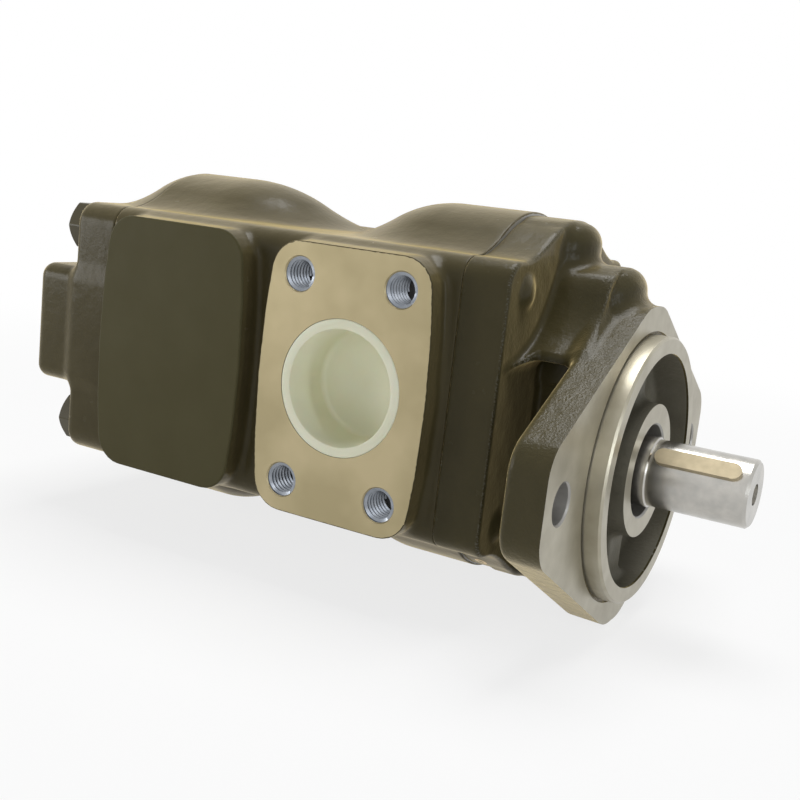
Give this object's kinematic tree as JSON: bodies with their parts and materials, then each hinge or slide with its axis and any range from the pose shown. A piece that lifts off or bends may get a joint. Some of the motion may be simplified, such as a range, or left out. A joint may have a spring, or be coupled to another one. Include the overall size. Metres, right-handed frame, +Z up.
{
  "type": "hydraulic gear pump",
  "caption": "Cast-iron tandem gear pump with a two-bolt flange, keyed shaft, common suction port and an outlet on each section.",
  "frame": {"origin": "centre of the pilot on the mounting face of the flange", "axes": "+X along the drive shaft towards its keyed end, +Z up from the drive axis to the idler axis, -Y towards the suction port"},
  "size_m": [0.3019, 0.1746, 0.1512],
  "materials": {
    "casting_front": "olive brown gloss paint over sand-cast iron",
    "casting_centre": "olive brown gloss paint over sand-cast iron",
    "casting_rear": "olive brown gloss paint over sand-cast iron",
    "painted_fastener": "painted over with the casting",
    "bright_steel": "bright ground",
    "shaft_steel": "ground and oiled",
    "key_steel": "bright drawn",
    "gear_steel": "ground",
    "dark_steel": "blackened",
    "bush_bronze": "bored bronze",
    "plate_bronze": "lapped bronze",
    "nitrile": "moulded nitrile rubber",
    "cream_plastic": "soft moulded plastic",
    "plug_brass": "bright turned"
  },
  "bodies": {
    "housing": {"front_cover": "casting_front", "centre_body": "casting_centre", "rear_cover": "casting_rear", "through_bolts": "painted_fastener", "bolt_washers": "painted_fastener", "dowel_pins": "bright_steel", "front_section_seal": "nitrile", "rear_section_seal": "nitrile", "front_cover_bushes": "bush_bronze", "centre_front_bushes": "bush_bronze", "centre_rear_bushes": "bush_bronze", "rear_cover_bushes": "bush_bronze", "front_outer_plate": "plate_bronze", "front_inner_plate": "plate_bronze", "rear_inner_plate": "plate_bronze", "rear_outer_plate": "plate_bronze", "front_plate_seals": "nitrile", "rear_plate_seals": "nitrile", "shaft_seal_case": "dark_steel", "shaft_seal_lip": "nitrile", "seal_garter_spring": "bright_steel", "seal_retaining_ring": "dark_steel", "bleed_plug": "plug_brass"},
    "drive": {"drive_shaft": "shaft_steel", "shaft_key": "key_steel", "drive_coupling": "dark_steel", "rear_drive_gear": "gear_steel"},
    "front_idler": {"front_idler_gear": "gear_steel"},
    "rear_idler": {"rear_idler_gear": "gear_steel"},
    "inlet_cap": {"inlet_plug": "cream_plastic"},
    "front_outlet_cap": {"front_outlet_plug": "cream_plastic"},
    "rear_outlet_cap": {"rear_outlet_plug": "cream_plastic"}
  },
  "joints": [
    {"name": "drive_spin", "type": "hinge", "parent": "housing", "child": "drive", "pos_m": [0, 0, 0], "axis": [1, 0, 0], "continuous": true},
    {"name": "front_idler_spin", "type": "hinge", "parent": "housing", "child": "front_idler", "pos_m": [-0.0765, 0, 0.0402], "axis": [1, 0, 0], "continuous": true},
    {"name": "rear_idler_spin", "type": "hinge", "parent": "housing", "child": "rear_idler", "pos_m": [-0.1903, 0, 0.0402], "axis": [1, 0, 0], "continuous": true},
    {"name": "inlet_plug_pull", "type": "slide", "parent": "housing", "child": "inlet_cap", "axis": [0, -1, 0], "range_m": [0, 0.04]},
    {"name": "front_outlet_plug_pull", "type": "slide", "parent": "housing", "child": "front_outlet_cap", "axis": [0, 1, 0], "range_m": [0, 0.03]},
    {"name": "rear_outlet_plug_pull", "type": "slide", "parent": "housing", "child": "rear_outlet_cap", "axis": [0, 1, 0], "range_m": [0, 0.03]}
  ],
  "couplings": [
    {"joint": "front_idler_spin", "follows": "drive_spin", "ratio": -1},
    {"joint": "rear_idler_spin", "follows": "drive_spin", "ratio": -1}
  ]
}
